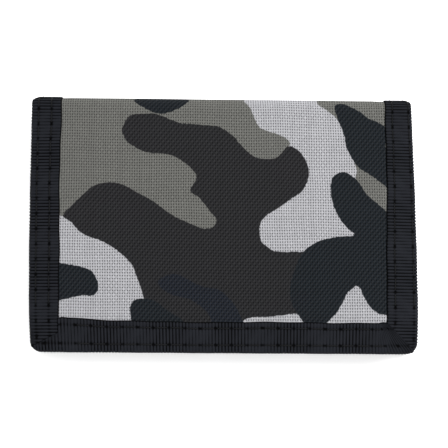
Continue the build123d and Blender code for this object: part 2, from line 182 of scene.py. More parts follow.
def place(x, s, depth):
    """Point in space of a strip place: x across, s along, depth in from the outer face."""
    x, s, depth = np.broadcast_arrays(x, s, depth)
    edge = np.minimum(np.minimum(x - LEFT, RIGHT - x), np.minimum(s, S_END - s))
    pinch = smooth(1 - edge / PINCH)
    drop = np.interp(s, PANEL_STATIONS, EDGE_DROP) * pinch
    squeeze = 1 - (1 - np.interp(s, PANEL_STATIONS, EDGE_SQUEEZE)) * pinch
    from_tape = np.minimum(x - LEFT, RIGHT - x) - BINDING
    from_crease = np.minimum(np.abs(s - S_FRONT), np.abs(s - S_BACK)) / CREASE_RUN
    bulge = CREASE_BULGE * smooth(from_tape / BULGE_START) * smooth(1 - from_crease / BULGE_RUNS)
    inward = drop + depth * squeeze - bulge
    x, s = rounded_corners(x, s)
    angle = math.pi / 2 * (
        1
        - np.clip((s - S_FRONT) / CREASE_RUN, 0, 1)
        - np.clip((s - S_SPINE_END) / CREASE_RUN, 0, 1)
        - 2 * np.clip((s - S_INNER_FOLD) / (S_INNER - S_INNER_FOLD), 0, 1)
    )
    inner = s > S_INNER_FOLD
    radius = np.where(inner, INNER_RADIUS, CREASE_RADIUS) - inward
    spine = np.clip(s - S_SPINE, 0, S_SPINE_END - S_SPINE)
    centre_z = np.where(inner, INNER_RADIUS, TOP - CREASE_RADIUS - spine)
    runs = (
        np.clip(s, 0, S_FRONT)
        - np.clip(s - S_BACK, 0, S_INNER_FOLD - S_BACK)
        + np.clip(s - S_INNER, 0, None)
    )
    y = FLAP_EDGE_Y + runs + radius * np.cos(angle)
    z = centre_z + radius * np.sin(angle)
    z = z + ripple(x, y) * z / TOP
    from_fold = smooth((y - SPINE_Y) / FOLD_ROUND_REACH + 1)
    from_side = smooth(1 - np.minimum(x - LEFT, RIGHT - x) / BINDING)
    x = x - np.sign(x) * FOLD_ROUND * from_fold**2 * from_side - SKEW * y
    x = x * (1 + np.interp(y, SIDE_Y, SIDE_OUT) / RIGHT)
    y = y * (1 - SETTLE)
    y = y - TAPER * x * (y - FLAP_EDGE_Y) / (SPINE_Y - FLAP_EDGE_Y)
    return points(x, y, z)


# -------- meshes
def grid_faces(stations, loop, first):
    """Quads of a closed form: loops joined along the stations, and both ends closed.
    A loop goes out along one side of a sheet and back along the other."""
    i, j = np.meshgrid(np.arange(stations - 1), np.arange(loop), indexing="ij")
    k = (j + 1) % loop
    sides = np.stack([i * loop + j, i * loop + k, (i + 1) * loop + k, (i + 1) * loop + j], -1)
    j = np.arange(loop // 2 - 1)
    cap = np.stack([j + 1, j, loop - 1 - j, loop - 2 - j], -1)
    far_cap = cap[:, ::-1] + (stations - 1) * loop
    return np.concatenate([sides.reshape(-1, 4), cap, far_cap]) + first


def make_piece(name, grids, material, attributes=None, in_space=False):
    """One mesh from closed grids, each an array of stations by loop by (x, s, depth), or by points
    that are in_space already. attributes are more values by name, one array per grid."""
    points, faces, first = [], [], 0
    for grid in grids:
        flat = grid.reshape(-1, 3)
        spots = flat if in_space else place(flat[:, 0], flat[:, 1], flat[:, 2])
        quads = grid_faces(grid.shape[0], grid.shape[1], first)
        corner = [spots[quads[:, n] - first] for n in range(4)]
        volume = np.sum(corner[0] * np.cross(corner[1] - corner[0], corner[2] - corner[0]))
        volume += np.sum(corner[0] * np.cross(corner[2] - corner[0], corner[3] - corner[0]))
        points.append(spots)
        faces.append(quads if volume > 0 else quads[:, ::-1])
        first += len(flat)
    mesh = bpy.data.meshes.new(name)
    mesh.from_pydata((np.concatenate(points) * MM).tolist(), [], np.concatenate(faces).tolist())
    mesh.polygons.foreach_set("use_smooth", np.ones(len(mesh.polygons), bool))
    values = {"strip": grids}
    values.update(attributes or {})
    for key, per_grid in values.items():
        flat = np.concatenate([np.asarray(v, np.float32).reshape(-1) for v in per_grid])
        if len(flat) == 3 * first:
            mesh.attributes.new(key, "FLOAT_VECTOR", "POINT").data.foreach_set("vector", flat)
        else:
            mesh.attributes.new(key, "FLOAT", "POINT").data.foreach_set("value", flat)
    mesh.materials.append(material)
    piece = bpy.data.objects.new(name, mesh)
    bpy.context.scene.collection.objects.link(piece)
    return piece


def steps(start, end, size):
    """Evenly spaced values from start to end, about size apart."""
    return np.linspace(start, end, max(2, round(abs(end - start) / size) + 1))


def closed(outer, inner):
    """Grid that goes out along one face of a sheet and back along the other."""
    return np.concatenate([outer, inner[:, ::-1]], axis=1)


def slab(x_values, s_values, outer, inner):
    """Grid of a flat sheet between two depths. A depth is a number or a function of x and s."""
    x, s = np.meshgrid(x_values, s_values)
    faces = []
    for depth in (outer, inner):
        value = depth(x, s) if callable(depth) else depth
        faces.append(points(x, s, value))
    return closed(*faces)


def tube(path, radius, sides=6):
    """Grid of a round thread along a path of points, closed at both ends."""
    along = np.gradient(path, axis=0)
    along /= np.linalg.norm(along, axis=1, keepdims=True)
    least_used_axis = np.argmin(np.abs(along).max(axis=0))
    reference = np.eye(3)[least_used_axis]
    across = np.cross(along, reference)
    across /= np.linalg.norm(across, axis=1, keepdims=True)
    up = np.cross(across, along)
    turn = 2 * math.pi * (np.arange(sides) + 0.5) / sides
    ring = np.cos(turn)[None, :, None] * across[:, None] + np.sin(turn)[None, :, None] * up[:, None]
    return path[:, None] + radius * ring


# -------- binding tape
RIB_PITCH = 1.05
RIB_HEIGHT = 0.2
RIB_FLATNESS = 0.8
RIB_STATIONS = 4
DEEPEST_RELIEF = 0.42
# The tape turns over within ROLL of its outer edge.
ROLL = 1.6
ROLL_POINTS = 10
# At a corner the tape is trimmed over MITRE of its length, along a line that starts MITRE_START in
# from the edge. The end tapes lie over the side tapes, whose trimmed end is tucked under them, and
# stand out by MITRE_LAP on the outer face and by INNER_LAP of that on the inner face.
MITRE = 13.0
MITRE_LAP = 0.45
MITRE_SLOPE = 2.04
MITRE_START = 1.7
MITRE_TUCK = 0.6
INNER_LAP = 0.1
# The visible leg is LEG_SPREAD wider than its pattern, LAP_SPREAD more at a corner, and not even.
LEG_SPREAD = 0.75
LAP_SPREAD = 1.3
LEG_WANDER = 0.12
LEG_WAVE = 0.08
# What an askew tape's leg gains at the strip's start, at the front crease and at the strip's end.
ASKEW = [0.6, -1.3, 0.0]
# Depth and reach of the grooves in the tape's face.
EDGE_GROOVE, EDGE_REACH = 0.3, 0.25
CORNER_GROOVE, CORNER_REACH = 0.4, 0.5
SEAM_GROOVE, SEAM_REACH = 0.06, 0.447
# The thread pulls its needle holes in by HOLE_DEPTH, more or less by HOLE_UNEVEN.
HOLE_DEPTH, HOLE_UNEVEN = 0.2, 0.1
HOLE_REACH, HOLE_LENGTH = 0.316, 0.5
STITCH_PITCH = 5.0
STITCH_GAP = 0.07
STITCH_SLANT = 0.12
STITCH_DIVE = 0.55
STITCH_SUNK = 0.02
STITCH_POINTS = 9
THREAD_RADIUS = 0.2
# Share of MITRE that the last stitch keeps from the tape's far end.
LAST_STITCH = 0.75


def dent(distance, reach):
    """Profile of a soft groove: 1 on its line, nearly 0 at twice its reach."""
    return np.exp(-((distance / reach) ** 2))


class Tape:
    """A ribbed tape folded over one edge of the strip. t runs along the tape, u inwards from
    the edge. side is left or right for an edge along the strip, and start or end for a free end."""

    def __init__(
        self, side, start, end, rows, wide=BINDING, edge=0.0, top=0.0, stack=None, askew=False
    ):
        """rows are the seams' distances from the tape's outer edge, which lies edge inside the
        strip's. top is the depth of the tape's face, and stack that of its inner leg."""
        self.side, self.start, self.end, self.rows = side, start, end, rows
        self.wide, self.edge, self.top, self.stack = wide, edge, top, stack
        self.askew = askew
        self.crosses = side in ("start", "end")
        self.mitred_start = self.crosses or start == 0
        self.mitred_end = self.crosses or end == S_END

    def bottom(self, t):
        """Depth of the tape's inner leg."""
        if self.crosses:
            return np.full_like(t, FRONT_STACK if self.side == "start" else INNER_STACK)
        if self.stack:
            return np.full_like(t, self.stack)
        return np.interp(t, PANEL_STATIONS, LEFT_STACK)

    def inset(self, t, u):
        """Distance of a tape place from the strip's edge."""
        spread = LEG_SPREAD + LEG_WANDER * np.sin(t / 7 + self.wide) + LEG_WAVE * np.sin(t / 2.3)
        if self.crosses:
            spread = spread + LAP_SPREAD * dent(t - BINDING, MITRE)
        if self.askew:
            spread = spread + np.interp(t, [0, S_FRONT, S_END], ASKEW)
        return u + self.edge + spread * u / self.wide

    def cut(self, inset):
        """How much is trimmed off the tape's end at a corner, for each distance from the edge."""
        if self.crosses:
            return np.clip(MITRE_SLOPE * (inset - MITRE_START), 0, BINDING)
        return np.minimum(inset, MITRE_START - MITRE_TUCK + inset / MITRE_SLOPE)

    def near_start(self, t):
        """1 at a mitred start, falling to 0 where the tape is whole."""
        return np.clip(1 - (t - self.start) / MITRE, 0, 1) * self.mitred_start

    def trimmed(self, t, u):
        """Place along the tape once its start is trimmed."""
        return t + self.cut(self.inset(t, u)) * self.near_start(t)

    def spot(self, t, u, depth):
        """Strip place of a tape place. The ribs fan out towards a mitred far end."""
        far = np.clip(1 - (self.end - t) / MITRE, 0, 1) * self.mitred_end
        lap = smooth(self.near_start(t)) + smooth(far)
        inset = self.inset(t, u)
        far_cut = inset if self.crosses else self.cut(inset)
        t = self.trimmed(t, u) - far_cut * far
        if self.crosses:
            outwards = np.clip(1 - 2 * (depth - self.top) / self.bottom(0.0), -INNER_LAP, 1)
            depth = depth - MITRE_LAP * lap * outwards
            s = inset if self.side == "start" else S_END - inset
            return points(LEFT + t, s, depth)
        x = LEFT + inset if self.side == "left" else RIGHT - inset
        return points(x, t, depth)

    def relief(self, t, u):
        """How far the tape's face sinks: between ribs, along seams, at needle holes and at edges."""
        from_start = t - self.start
        t = self.trimmed(t, u)
        rib = np.floor(t / RIB_PITCH)
        uneven = 1 + 0.35 * np.sin(12.9 * rib) + 0.15 * np.sin(5.1 * rib + u)
        sunk = RIB_HEIGHT * uneven * (1 - np.abs(np.sin(math.pi * t / RIB_PITCH)) ** RIB_FLATNESS)
        sunk = sunk + EDGE_GROOVE * dent(self.wide - u, EDGE_REACH)
        hole = np.round(t / STITCH_PITCH)
        in_hole = dent(t - hole * STITCH_PITCH, HOLE_LENGTH)
        for row in self.rows:
            pull = HOLE_DEPTH + HOLE_UNEVEN * np.sin(4.7 * hole + row)
            sunk = sunk + SEAM_GROOVE * dent(u - row, SEAM_REACH)
            sunk = sunk + pull * dent(u - row, HOLE_REACH) * in_hole
        if self.crosses:
            sunk = sunk + CORNER_GROOVE * dent(from_start, CORNER_REACH)
        return np.minimum(sunk, DEEPEST_RELIEF)

    def grid(self):
        """Strip places of the folded tape, and its (t, u, relief) for the material."""
        t = steps(self.start, self.end, RIB_PITCH / RIB_STATIONS)
        bottom = self.bottom(t)[:, None]
        roll = min(ROLL, float(np.min(bottom) - self.top) / 2)
        turn = np.linspace(0, math.pi, ROLL_POINTS)[1:-1]
        leg = steps(self.wide, roll, 0.3)
        back_leg = steps(roll, self.wide, 0.8)
        u = np.concatenate([leg, roll * (1 - np.sin(turn)), back_leg])
        share = np.concatenate([0 * leg, (1 - np.cos(turn)) / 2, 1 + 0 * back_leg])
        in_u = np.concatenate([0 * leg, np.sin(turn), 0 * back_leg])
        in_depth = np.concatenate([1 + 0 * leg, np.cos(turn), -1 + 0 * back_leg])
        depth = self.top + (bottom - self.top) * share
        t = t[:, None]
        sunk = self.relief(t, u)
        outside = self.spot(t, u + sunk * in_u, depth + sunk * in_depth)
        inside = self.spot(t, u + TAPE * in_u, depth + TAPE * in_depth)
        weave = points(self.trimmed(t, u), u, sunk)
        return closed(outside, inside), closed(weave, weave)

    def stitches(self):
        """Grids of the sewing thread, one short curved length per stitch."""
        made = []
        first = self.start + (MITRE if self.mitred_start else 0)
        last = self.end - (MITRE * LAST_STITCH if self.mitred_end else 0)
        share = np.linspace(0, 1, STITCH_POINTS)
        lift = STITCH_DIVE * (1 - np.sin(math.pi * share) ** 0.3) + STITCH_SUNK
        for row in self.rows:
            for hole in np.arange(math.ceil(first / STITCH_PITCH), math.floor(last / STITCH_PITCH)):
                t = (hole + STITCH_GAP + (1 - 2 * STITCH_GAP) * share) * STITCH_PITCH
                u = row + STITCH_SLANT * math.sin(7.3 * hole + row) * (share - 0.5)
                flat = tube(points(t, u, self.top + lift), THREAD_RADIUS)
                made.append(self.spot(flat[..., 0], flat[..., 1], flat[..., 2]))
        return made


# -------- camouflage print
# Outlines of the print on the front flap, seen from the front: x to the right and y up, from the
# middle of the closed wallet. Each is a closed smooth curve through its points.
LIGHT = [
    [(7, 43.5), (9, 38), (11, 33), (13, 31), (17.5, 29.5), (20.5, 28), (21.5, 25.5), (16, 17),
     (8, 6), (8, -20), (4, -31), (5.5, -34), (25, -37), (57.5, -37), (58, -3), (52, 2), (46, 8),
     (43, 14), (43.5, 17), (43, 19), (42, 22.5), (41, 26), (40, 29), (39, 32.5), (36.5, 35.5),
     (34, 37.5), (31, 40), (29, 43.5)],
    [(-56.5, 2), (-52.5, 2), (-43, -0.5), (-35, -5), (-27, -11.5), (-20, -21.5), (-18, -35.5), (-56, -35.5)],
]
CHARCOAL = [
    [(-32.5, 32.5), (-30.5, 35.5), (-26, 36), (-22, 36), (-18, 34.5), (-14, 33), (-7.5, 32.5),
     (-2, 32), (0, 31), (3, 29), (6, 25.5), (8.5, 23), (11, 21.5), (15, 21), (18, 22), (21.5, 25.5),
     (25, 23.5), (27, 20.5), (28, 16), (26, 11), (23, 8.5), (19, 5.5), (15, 3), (12.5, 0.5),
     (12, -2.5), (12.5, -6), (16, -9), (19.5, -9.5), (25.5, -9.5), (35, -11), (35, -26),
     (28.5, -29.5), (23.5, -29.5), (15.5, -30.5), (8.5, -31), (5.5, -33), (4, -37), (-23.5, -37),
     (-25, -25), (-27, -19), (-29, -14), (-33, -10), (-38.5, -6.5), (-45, -4),
     (-49, 0), (-51.5, 2), (-49, 5), (-44.5, 9.5), (-41.5, 12), (-37, 13), (-33, 12.5),
     (-28, 10), (-22, 6.5), (-16.5, 2.5), (-11.5, 0), (-6.5, -2), (-3, -1.5), (-2, 1), (-4, 3.5),
     (-7.5, 8), (-10.5, 10.5), (-8.5, 14.5), (-10, 17.5), (-13.5, 20.5), (-18, 22.5), (-24, 23),
     (-28, 24.5), (-31.5, 27), (-33, 30)],
]
DARK = [
    [(-30, 41.5), (-27.5, 39), (-24, 37), (-20, 36), (-15.5, 37.5), (-12, 40), (-12, 43),
     (-30, 43)],
    [(35, 13), (36, 15.5), (39, 17), (42, 15.5), (44.5, 13), (46.5, 9.5), (50.5, 6),
     (54.5, 2.5), (58, 0), (57.5, -32), (53, -30), (49.5, -29), (46.5, -26),
     (44.5, -22), (43.5, -20.5), (42, -21), (40, -23), (38, -27), (36, -30), (32, -33.5),
     (28, -33.5), (25.5, -31.5), (23.5, -28.5), (22, -25), (22, -20), (23.5, -14.5), (26, -9.5),
     (31, -6), (37, -4.5), (42.5, -4), (40.5, -2), (38, 1), (36, 5), (35, 9)],
    [(36.5, 38.5), (37.5, 40), (39.5, 40), (42.5, 38.5), (45, 37), (47.5, 35), (51, 33.5), (53.5, 31.5),
     (54, 28.5), (53, 26), (54, 24), (57, 22), (56.5, 8.5), (54, 11), (48.5, 15.5),
     (44, 18.5), (41.5, 22.5), (40, 26), (39.5, 29.5), (37.5, 34.5)],
    [(-56.5, -14), (-49.5, -14), (-43, -15.5), (-40.5, -18), (-39.5, -21.5), (-41, -24),
     (-44.5, -24), (-49, -25), (-53.5, -26), (-56, -26)],
    [(-29, -31), (-29.5, -28), (-28, -25.5), (-24.5, -25), (-21, -26), (-17, -29),
     (-12.5, -32), (-10.5, -37), (-28.5, -37)],
]
BAND = [
    [(-20.5, -20), (-18, -17.5), (-14.5, -17), (-10.5, -19), (-6, -21), (-1, -22),
     (3, -25.5), (5.5, -29.5), (7, -35.5), (-3, -37), (-3.5, -31.5), (-6, -28), (-10.5, -25),
     (-16.5, -23.5)],
]
PRINT_OUTLINES = {
    "print_light": LIGHT,
    "print_charcoal": CHARCOAL,
    "print_dark": DARK,
    "print_band": BAND,
}
# The print's known part, which repeats beyond these limits, and its sideways shift past the spine.
PRINT_X = (-57.0, 57.0)
PRINT_Y = (-36.0, 41.0)
PRINT_SHIFT = 47.0
POINTS_PER_SPAN = 5
FAR_AWAY = 100.0


def smooth_outline(points):
    """Points of the closed Catmull-Rom curve through the outline's points."""
    p = np.array(points, float)
    before, after, beyond = np.roll(p, 1, 0), np.roll(p, -1, 0), np.roll(p, -2, 0)
    curve = []
    for t in np.arange(POINTS_PER_SPAN) / POINTS_PER_SPAN:
        curve.append(
            p
            + (after - before) * t / 2
            + (2 * before - 5 * p + 4 * after - beyond) * t**2 / 2
            + (3 * p - before - 3 * after + beyond) * t**3 / 2
        )
    return np.stack(curve, 1).reshape(-1, 2)


def inside_distance(x, y, outlines):
    """Distance to the nearest outline, above zero inside one of them."""
    best = np.full(x.shape, -FAR_AWAY)
    for outline in outlines:
        a = smooth_outline(outline)
        b = np.roll(a, -1, 0)
        nearest = np.full(x.shape, FAR_AWAY)
        inside = np.zeros(x.shape, bool)
        for (ax, ay), (bx, by) in zip(a, b):
            dx, dy = bx - ax, by - ay
            t = np.clip(((x - ax) * dx + (y - ay) * dy) / (dx * dx + dy * dy + 1e-9), 0, 1)
            nearest = np.minimum(nearest, np.hypot(x - ax - t * dx, y - ay - t * dy))
            if ay != by:
                crosses = ((ay > y) != (by > y)) & (x < ax + dx * (y - ay) / dy)
                inside ^= crosses
        best = np.maximum(best, np.where(inside, nearest, -nearest))
    return best


def mirrored(value, low, high):
    """value folded back and forth between low and high."""
    run = high - low
    return low + run - np.abs(np.mod(value - low, 2 * run) - run)


def print_attributes(grid):
    """The print's distances at each point of a shell grid. On the front the outlines hold for the
    leaning wallet. Past the spine the print shifts sideways and repeats, mirrored."""
    x, s = grid[..., 0], grid[..., 1]
    spot = place(x, s, 0)
    y = np.where(s < S_SPINE, spot[..., 1], SPINE_Y - (s - S_SPINE))
    x = np.where(s < S_SPINE, x - SKEW * y, x - SKEW * SPINE_Y)
    x = mirrored(x + PRINT_SHIFT * smooth((s - S_SPINE) / PRINT_SHIFT), *PRINT_X)
    y = mirrored(y, *PRINT_Y)
    return {name: [inside_distance(x, y, outlines)] for name, outlines in PRINT_OUTLINES.items()}


# -------- materials
# Brightness of a white surface lying flat in this light, so that colours can be given as they look.
LIGHT_LEVEL = 1.6
MIX_FACTOR, MIX_A, MIX_B, MIX_COLOUR = 0, 6, 7, 2


def seen(red, green, blue):
    """Base colour that looks like this 8-bit colour where the light falls on it flat."""
    linear = [((c / 255 + 0.055) / 1.055) ** 2.4 for c in (red, green, blue)]
    return [min(1.0, c / LIGHT_LEVEL) for c in linear] + [1.0]


class Recipe:
    """A material with a Principled shader, and short calls for the nodes that feed it."""

    def __init__(self, name, **constants):
        self.material = bpy.data.materials.new(name)
        self.material.use_nodes = True
        self.tree = self.material.node_tree
        self.shader = self.tree.nodes["Principled BSDF"]
        for key, value in constants.items():
            self.shader.inputs[key.replace("_", " ")].default_value = value

    def node(self, kind, output, inputs=(), **settings):
        """Adds a node and returns one of its outputs. An input is a value or another output."""
        made = self.tree.nodes.new("ShaderNode" + kind)
        for key, value in settings.items():
            setattr(made, key, value)
        for key, value in dict(inputs).items():
            if isinstance(value, bpy.types.NodeSocket):
                self.tree.links.new(value, made.inputs[key])
            else:
                made.inputs[key].default_value = value
        return made.outputs[output]

    def math(self, operation, a, b=0.0):
        return self.node("Math", 0, {0: a, 1: b}, operation=operation)

    def add(self, a, b):
        return self.math("ADD", a, b)

    def times(self, first, *more):
        """Product of two or more values."""
        for value in more:
            first = self.math("MULTIPLY", first, value)
        return first

    def vary(self, value, low, high):
        """low where value is 0, high where it is 1, and in line with them elsewhere."""
        return self.add(self.times(value, high - low), low)

    def between(self, value, low, high, to_low=0.0, to_high=1.0):
        """value as a share of the way from low to high, clamped, and mapped smoothly."""
        places = {"Value": value, "From Min": low, "From Max": high, "To Min": to_low, "To Max": to_high}
        return self.node("MapRange", 0, places, interpolation_type="SMOOTHSTEP")

    def attribute(self, name, output="Vector"):
        """A vector attribute of the mesh, or with the output Fac a number."""
        return self.node("Attribute", output, attribute_name=name)

    def parts(self, vector):
        """The three numbers of a vector."""
        return list(self.node("SeparateXYZ", 0, {0: vector}).node.outputs)

    def vector(self, x, y, z=0.0):
        return self.node("CombineXYZ", 0, {0: x, 1: y, 2: z})

    def noise(self, vector, scale, detail=2.0):
        return self.node("TexNoise", 0, {"Vector": vector, "Scale": scale, "Detail": detail})

    def chance(self, vector):
        """A random number for each whole-numbered vector."""
        return self.node("TexWhiteNoise", "Value", {"Vector": vector})

    def mix(self, factor, a, b):
        """Colour a where factor is 0, and colour b where it is 1."""
        inputs = {MIX_FACTOR: factor, MIX_A: a, MIX_B: b}
        return self.node("Mix", MIX_COLOUR, inputs, data_type="RGBA")

    def shade(self, colour, factor):
        """colour times a grey factor, which may be above 1."""
        return self.node("VectorMath", 0, {0: colour, "Scale": factor}, operation="SCALE")

    def plug(self, name, socket):
        self.tree.links.new(socket, self.shader.inputs[name])

    def paint(self, tone, factor):
        """Base colour: an 8-bit colour as seen, times a grey factor."""
        colour = self.tree.nodes.new("ShaderNodeRGB").outputs[0]
        colour.default_value = seen(*tone)
        self.plug("Base Color", self.shade(colour, factor))

    def bump(self, height, depth, strength=1.0):
        """Relief from a height between 0 and 1 and its depth."""
        inputs = {"Height": height, "Distance": depth * MM, "Strength": strength}
        self.plug("Normal", self.node("Bump", 0, inputs))


# A float's places are shares of its repeat, two threads long. A gap's are heights of the threads'
# round profiles.
FLOAT_MIDDLE = 0.25
FLOAT_REACH = (0.17, 0.34)
WEFT_HEIGHT = 0.75
THREAD_FLATNESS = 0.7
GAP_WIDTH = (0.25, 0.8)
GAP_LENGTH = (0.5, 1.0)
Weave = namedtuple("Weave", "height gap on_top column row chance")


def plain_weave(r, x, s, pitch_x, pitch_s):
    """Over and under threads. Those along the strip bulge over the others in long floats, set like
    bricks. Gives the height of the cloth, the gaps, how far a thread along the strip is on top, the
    two threads' numbers and a random number for each crossing."""
    u, v = r.times(x, 1 / pitch_x), r.times(s, 1 / pitch_s)
    column, row = r.math("FLOOR", u), r.math("FLOOR", v)
    phase = r.math("FRACT", r.times(r.add(v, column), 0.5))
    from_float = r.math("ABSOLUTE", r.add(phase, -FLOAT_MIDDLE))
    from_float = r.math("MINIMUM", from_float, r.math("SUBTRACT", 1.0, from_float))
    on_top = r.between(from_float, *FLOAT_REACH, 1.0, 0.0)
    round_x = r.math("SINE", r.times(r.math("FRACT", u), math.pi))
    round_s = r.math("SINE", r.times(r.math("FRACT", v), math.pi))
    warp = r.times(r.math("POWER", round_x, THREAD_FLATNESS), on_top)
    weft = r.times(r.math("POWER", round_s, THREAD_FLATNESS), WEFT_HEIGHT)
    height = r.math("MAXIMUM", warp, weft)
    gap = r.times(r.between(round_x, *GAP_WIDTH, 1.0, 0.0), r.between(round_s, *GAP_LENGTH, 1.0, 0.0))
    return Weave(height, gap, on_top, column, row, r.chance(r.vector(column, row)))


THREAD_X, THREAD_S = 0.79, 0.94
THREAD_WANDER = 1.2
GROUND_TONE = (110, 110, 106)
PRINT_TONES = {
    "print_light": (180, 180, 184),
    "print_charcoal": (38, 38, 40),
    "print_dark": (26, 31, 36),
    "print_band": (29, 33, 41),
}
PRINT_SOFTNESS = 0.16
DIAGONAL_SHINE = 0.008


def camo_cloth():
    """Printed plain weave: the print follows the threads, and the gaps between threads are darkened as
    painted shade.
    """
    r = Recipe("camo_cloth", Roughness=0.85, Specular_IOR_Level=0.07)
    strip = r.attribute("strip")
    x, s, _ = r.parts(strip)
    bent_x = r.add(x, r.times(r.noise(strip, 0.05, 1.0), THREAD_WANDER))
    bent_s = r.add(s, r.times(r.noise(strip, 0.04, 1.0), THREAD_WANDER))
    weave = plain_weave(r, bent_x, bent_s, THREAD_X, THREAD_S)
    rough_edge = r.add(
        r.vary(r.noise(strip, 0.8, 2.0), -0.175, 0.175), r.vary(weave.chance, -0.1, 0.1)
    )
    colour = seen(*GROUND_TONE)
    for name, tone in PRINT_TONES.items():
        distance = r.add(r.attribute(name, "Fac"), rough_edge)
        colour = r.mix(r.between(distance, -PRINT_SOFTNESS, PRINT_SOFTNESS), colour, seen(*tone))
    # Painted shade: the colour falls to about a tenth in the gaps between threads.
    gap_shade = r.vary(weave.gap, 1.06, 0.11)
    worn = r.vary(r.noise(strip, 0.35, 3.0), 0.92, 1.08)
    # Painted sheen: threads floating on top are drawn lighter than the ones under them.
    side = r.vary(weave.on_top, 0.96, 1.04)
    by_row, by_column = r.chance(r.vector(weave.row, 7.0)), r.chance(r.vector(weave.column, 3.0))
    slub = r.vary(r.mix(weave.on_top, by_row, by_column), 0.94, 1.06)
    fleck = r.vary(weave.chance, 0.96, 1.04)
    # Painted highlight: a faint sheen along one diagonal of the weave is added to the base colour.
    diagonal = r.add(r.times(bent_x, 1 / THREAD_X), r.times(bent_s, -1 / THREAD_S))
    shine = r.math("MAXIMUM", r.math("COSINE", r.times(diagonal, math.pi)), 0.0)
    layers = {
        0: r.shade(colour, r.times(gap_shade, worn, side, slub, fleck)),
        1: r.times(shine, DIAGONAL_SHINE),
    }
    r.plug("Base Color", r.node("VectorMath", 0, layers, operation="ADD"))
    r.bump(r.add(weave.height, r.times(r.noise(strip, 9.0, 2.0), 0.25)), 0.2, 0.7)
    return r.material


def nylon(name, tone, pitch, roughness=0.6):
    """Fine woven nylon for the lining and the pockets."""
    r = Recipe(
        name, Roughness=roughness, Specular_IOR_Level=0.15, Sheen_Weight=0.03, Sheen_Roughness=0.4
    )
    strip = r.attribute("strip")
    x, s, _ = r.parts(strip)
    weave = plain_weave(r, x, s, pitch, pitch)
    worn = r.vary(r.noise(strip, 0.09, 4.0), 0.75, 1.25)
    # Painted shade: the cloth is darker where the weave lies low, between its threads.
    grain = r.vary(weave.height, 0.65, 1.1)
    fleck = r.vary(weave.chance, 0.9, 1.1)
    r.paint(tone, r.times(worn, grain, fleck))
    r.bump(r.add(weave.height, r.times(r.noise(strip, 0.5, 3.0), 1.5)), 0.08, 0.6)
    return r.material


def ribbed_tape():
    """Grosgrain: fine threads lie along each rib, the crests carry a painted highlight and the valleys
    painted shade, and the rolled edge is worn.
    """
    r = Recipe("binding_tape", Roughness=0.7, Specular_IOR_Level=0.03)
    tape = r.attribute("tape")
    t, u, sunk = r.parts(tape)
    threads = r.noise(r.vector(r.times(t, 2.2), r.times(u, 0.7)), 3.0, 3.0)
    # Painted light: the rib crests are drawn nearly four times brighter and the valleys near black.
    rib_highlight_and_shade = r.between(sunk, 0.02, 0.2, 3.9, 0.2)
    edge = r.between(u, 0.3, 2.2, 1.25, 1.0)
    lint = r.between(r.noise(r.attribute("strip"), 1.1, 5.0), 0.68, 0.8, 1.0, 1.5)
    patchy = r.vary(r.noise(tape, 0.12, 3.0), 0.75, 1.25)
    streak = r.vary(threads, 0.7, 1.3)
    r.paint((15, 16, 19), r.times(rib_highlight_and_shade, edge, patchy, lint, streak))
    r.bump(threads, 0.12, 0.6)
    return r.material


def thread_material():
    """Black polyester thread, twisted."""
    r = Recipe("sewing_thread", Roughness=0.6, Specular_IOR_Level=0.12)
    x, s, _ = r.parts(r.attribute("strip"))
    twist = r.math("SINE", r.add(r.times(x, 11.0), r.times(s, 13.0)))
    r.paint((16, 17, 19), r.vary(twist, 1.0, 1.2))
    r.bump(r.vary(twist, 0.5, 1.0), 0.05)
    return r.material


def fuzzy(name, tone, scale):
    """Tape ground of the hook and loop patches."""
    r = Recipe(name, Roughness=0.8, Specular_IOR_Level=0.25, Sheen_Weight=0.3)
    grain = r.noise(r.attribute("strip"), scale, 4.0)
    r.paint(tone, r.vary(grain, 0.6, 1.4))
    r.bump(grain, 0.15)
    return r.material


HERRINGBONE_COLUMN = 0.9
HERRINGBONE_PITCH = 0.45


def zipper_tape():
    """Herringbone: the diagonal turns over in every column."""
    r = Recipe("zipper_tape", Roughness=0.75, Specular_IOR_Level=0.25, Sheen_Weight=0.2)
    strip = r.attribute("strip")
    x, s, _ = r.parts(strip)
    zigzag = r.math("PINGPONG", s, HERRINGBONE_COLUMN)
    wave = r.math("SINE", r.times(r.add(x, zigzag), 2 * math.pi / HERRINGBONE_PITCH))
    lines = r.vary(wave, 0.5, 1.0)
    worn = r.vary(r.noise(strip, 0.4, 3.0), 0.75, 1.25)
    r.paint((40, 41, 44), r.times(r.vary(lines, 0.7, 1.2), worn))
    r.bump(lines, 0.08)
    return r.material


def coil_plastic():
    """Smooth dyed nylon monofilament with faint streaks."""
    r = Recipe("zipper_coil", Specular_IOR_Level=0.5)
    streak = r.noise(r.attribute("strip"), 2.5, 3.0)
    r.paint((44, 45, 48), r.vary(streak, 0.75, 1.25))
    r.plug("Roughness", r.vary(streak, 0.28, 0.53))
    return r.material


def gunmetal():
    """Dark plated zinc, brighter and smoother where it is rubbed, with fine scratches. Its noise
    scales are per metre."""
    r = Recipe("zipper_metal", Metallic=1.0)
    spot = r.node("TexCoord", "Object")
    long_scratch = r.node("Mapping", 0, {"Vector": spot, "Scale": (300.0, 3000.0, 1500.0)})
    scratch = r.noise(long_scratch, 1.0, 4.0)
    patches = r.noise(spot, 450.0, 3.0)
    tone = r.add(r.times(patches, 0.5), r.times(r.between(scratch, 0.55, 0.8), 0.2))
    r.plug("Base Color", r.mix(tone, [0.14, 0.14, 0.15, 1], [0.30, 0.30, 0.31, 1]))
    r.plug("Roughness", r.vary(patches, 0.22, 0.52))
    r.bump(scratch, 0.01, 0.3)
    return r.material


